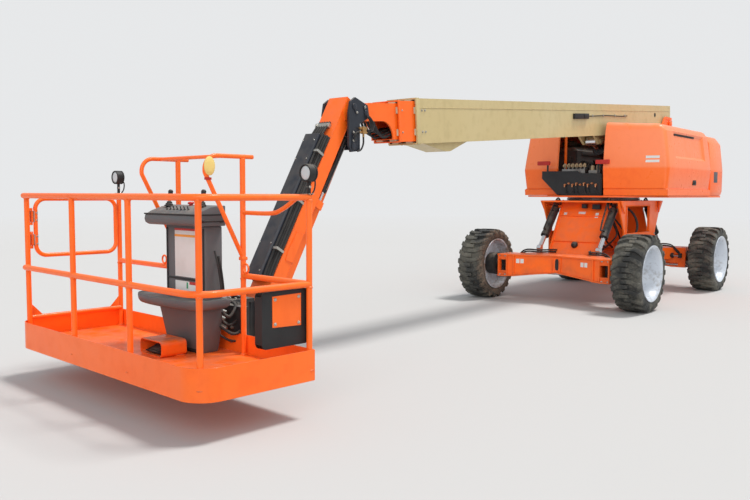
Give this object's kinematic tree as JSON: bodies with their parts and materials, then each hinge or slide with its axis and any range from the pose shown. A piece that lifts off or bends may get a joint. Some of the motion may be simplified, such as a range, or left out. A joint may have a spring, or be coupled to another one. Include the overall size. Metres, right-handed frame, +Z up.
{
  "type": "telescopic boom lift",
  "caption": "Self-propelled telescopic boom lift: four steered wheels, swinging turntable with hoods, sliding boom, parallel jib and turning work platform with an inward gate.",
  "frame": {"origin": "on the ground, under the middle of the whole machine", "axes": "+X forward from the chassis to the platform, +Y to the machine's left, +Z up"},
  "size_m": [10.2317, 2.5645, 2.8488],
  "materials": {
    "orange_paint": "satin orange enamel with sun fade",
    "cream_paint": "satin cream enamel",
    "black_paint": "satin black paint",
    "chrome_rod": "polished hard chrome",
    "engine_iron": "painted iron",
    "tank_plastic": "moulded plastic",
    "grey_plastic": "moulded dark grey plastic",
    "black_plastic": "moulded black plastic",
    "bearing_steel": "machined steel",
    "pale_plastic": "slide pad plastic",
    "tyre_rubber": "worn rubber with dust",
    "white_rim": "dusty white enamel",
    "knuckle_iron": "oily cast iron"
  },
  "bodies": {
    "chassis": {"chassis_frame": "orange_paint", "front_axle_beam": "orange_paint", "rear_axle_beam": "orange_paint", "level_cylinder_barrels": "black_paint", "level_cylinder_rods": "chrome_rod", "swing_ring": "bearing_steel"},
    "turntable": {"turntable_frame": "orange_paint", "counterweight": "orange_paint", "engine_block": "engine_iron", "fuel_and_oil_tanks": "tank_plastic", "valve_box": "black_paint"},
    "hood_left": {"hood_left": "orange_paint"},
    "hood_right": {"hood_right": "orange_paint"},
    "base_boom": {"base_boom": "cream_paint", "base_wear_pads": "pale_plastic"},
    "lift_barrel": {"lift_cylinder_barrel": "black_paint"},
    "lift_rod": {"lift_cylinder_rod": "chrome_rod"},
    "mid_boom": {"mid_boom": "orange_paint", "mid_wear_pads": "pale_plastic"},
    "fly_boom": {"fly_boom": "orange_paint"},
    "jib_bracket": {"jib_bracket": "black_paint"},
    "jib_arm": {"jib_arm": "orange_paint", "jib_hose_guard": "grey_plastic"},
    "jib_link": {"jib_link": "orange_paint"},
    "jib_barrel": {"jib_cylinder_barrel": "black_paint"},
    "jib_rod": {"jib_cylinder_rod": "chrome_rod"},
    "jib_head": {"jib_head": "black_paint"},
    "platform": {"platform_support": "black_paint", "platform_floor": "orange_paint", "platform_rails": "orange_paint", "control_console": "grey_plastic", "foot_switch": "orange_paint", "side_cover": "black_paint", "work_lamps": "black_plastic"},
    "gate": {"platform_gate": "orange_paint"},
    "knuckle_front_left": {"knuckle_front_left": "knuckle_iron"},
    "wheel_front_left": {"rim_front_left": "white_rim", "tyre_front_left": "tyre_rubber"},
    "knuckle_front_right": {"knuckle_front_right": "knuckle_iron"},
    "wheel_front_right": {"rim_front_right": "white_rim", "tyre_front_right": "tyre_rubber"},
    "knuckle_rear_left": {"knuckle_rear_left": "knuckle_iron"},
    "wheel_rear_left": {"rim_rear_left": "white_rim", "tyre_rear_left": "tyre_rubber"},
    "knuckle_rear_right": {"knuckle_rear_right": "knuckle_iron"},
    "wheel_rear_right": {"rim_rear_right": "white_rim", "tyre_rear_right": "tyre_rubber"}
  },
  "joints": [
    {"name": "steer_front_left", "type": "hinge", "parent": "chassis", "child": "knuckle_front_left", "pos_m": [-1.491, 0.757, 0.47], "axis": [0, 0, 1], "range_deg": [-25, 25]},
    {"name": "spin_front_left", "type": "hinge", "parent": "knuckle_front_left", "child": "wheel_front_left", "pos_m": [-1.491, 1.102, 0.47], "axis": [0, 1, 0], "continuous": true},
    {"name": "steer_front_right", "type": "hinge", "parent": "chassis", "child": "knuckle_front_right", "pos_m": [-1.491, -0.683, 0.47], "axis": [0, 0, 1], "range_deg": [-25, 25]},
    {"name": "spin_front_right", "type": "hinge", "parent": "knuckle_front_right", "child": "wheel_front_right", "pos_m": [-1.491, -1.028, 0.47], "axis": [0, 1, 0], "continuous": true},
    {"name": "steer_rear_left", "type": "hinge", "parent": "chassis", "child": "knuckle_rear_left", "pos_m": [-4.311, 0.757, 0.47], "axis": [0, 0, 1], "range_deg": [-25, 25]},
    {"name": "spin_rear_left", "type": "hinge", "parent": "knuckle_rear_left", "child": "wheel_rear_left", "pos_m": [-4.311, 1.102, 0.47], "axis": [0, 1, 0], "continuous": true},
    {"name": "steer_rear_right", "type": "hinge", "parent": "chassis", "child": "knuckle_rear_right", "pos_m": [-4.311, -0.683, 0.47], "axis": [0, 0, 1], "range_deg": [-25, 25]},
    {"name": "spin_rear_right", "type": "hinge", "parent": "knuckle_rear_right", "child": "wheel_rear_right", "pos_m": [-4.311, -1.028, 0.47], "axis": [0, 1, 0], "continuous": true},
    {"name": "turntable_swing", "type": "hinge", "parent": "chassis", "child": "turntable", "pos_m": [-2.901, 0.037, 1.376], "axis": [0, 0, 1], "continuous": true},
    {"name": "hood_left_hinge", "type": "hinge", "parent": "turntable", "child": "hood_left", "pos_m": [-3.301, 0.277, 2.375], "axis": [1, 0, 0], "range_deg": [0, 55]},
    {"name": "hood_right_hinge", "type": "hinge", "parent": "turntable", "child": "hood_right", "pos_m": [-3.301, -0.391, 2.375], "axis": [-1, 0, 0], "range_deg": [0, 55]},
    {"name": "boom_lift", "type": "hinge", "parent": "turntable", "child": "base_boom", "pos_m": [-4.931, 0.037, 2.545], "axis": [0, -1, 0], "range_deg": [0, 72]},
    {"name": "lift_barrel_turn", "type": "hinge", "parent": "turntable", "child": "lift_barrel", "pos_m": [-4.181, 0.037, 1.5], "axis": [0, -1, 0], "range_deg": [0, 62.37]},
    {"name": "lift_rod_slide", "type": "slide", "parent": "lift_barrel", "child": "lift_rod", "axis": [0.9341, 0, 0.3571], "range_m": [0, 1.45594]},
    {"name": "mid_slide", "type": "slide", "parent": "base_boom", "child": "mid_boom", "axis": [0.9969, 0, -0.0785], "range_m": [0, 5.2]},
    {"name": "fly_slide", "type": "slide", "parent": "mid_boom", "child": "fly_boom", "axis": [0.9969, 0, -0.0785], "range_m": [0, 5.2]},
    {"name": "bracket_level", "type": "hinge", "parent": "fly_boom", "child": "jib_bracket", "pos_m": [2.569, 0.037, 2.105], "axis": [0, -1, 0], "range_deg": [-72, 0]},
    {"name": "jib_lift", "type": "hinge", "parent": "jib_bracket", "child": "jib_arm", "pos_m": [2.724, 0.037, 2.15], "axis": [0, -1, 0], "range_deg": [0, 129]},
    {"name": "jib_link_turn", "type": "hinge", "parent": "jib_bracket", "child": "jib_link", "pos_m": [2.736, 0.037, 1.81], "axis": [0, -1, 0], "range_deg": [0, 129]},
    {"name": "jib_head_level", "type": "hinge", "parent": "jib_arm", "child": "jib_head", "pos_m": [3.65555, 0.037, 0.57484], "axis": [0, -1, 0], "range_deg": [-129, 0]},
    {"name": "jib_barrel_turn", "type": "hinge", "parent": "jib_bracket", "child": "jib_barrel", "pos_m": [2.724, 0.097, 1.88], "axis": [0, -1, 0], "range_deg": [0, 126.23]},
    {"name": "jib_rod_slide", "type": "slide", "parent": "jib_barrel", "child": "jib_rod", "axis": [0.5313, 0, -0.8472], "range_m": [0, 0.48603]},
    {"name": "platform_rotate", "type": "hinge", "parent": "jib_head", "child": "platform", "pos_m": [3.899, 0.037, 0.45], "axis": [0, 0, 1], "range_deg": [-85.4, 94.6]},
    {"name": "gate_hinge", "type": "hinge", "parent": "platform", "child": "gate", "pos_m": [4.8254, -1.24212, 1.1], "axis": [0, 0, -1], "range_deg": [0, 90]}
  ],
  "couplings": [
    {"joint": "steer_front_right", "follows": "steer_front_left", "ratio": 1},
    {"joint": "steer_rear_right", "follows": "steer_rear_left", "ratio": 1},
    {"joint": "lift_barrel_turn", "follows": "boom_lift", "ratio": 0.86618},
    {"joint": "lift_rod_slide", "follows": "boom_lift", "m_per_rad": 1.1582},
    {"joint": "bracket_level", "follows": "boom_lift", "ratio": -1},
    {"joint": "fly_slide", "follows": "mid_slide", "ratio": 1},
    {"joint": "jib_link_turn", "follows": "jib_lift", "ratio": 1},
    {"joint": "jib_head_level", "follows": "jib_lift", "ratio": -1},
    {"joint": "jib_barrel_turn", "follows": "jib_lift", "ratio": 0.97843},
    {"joint": "jib_rod_slide", "follows": "jib_lift", "m_per_rad": 0.21565}
  ]
}
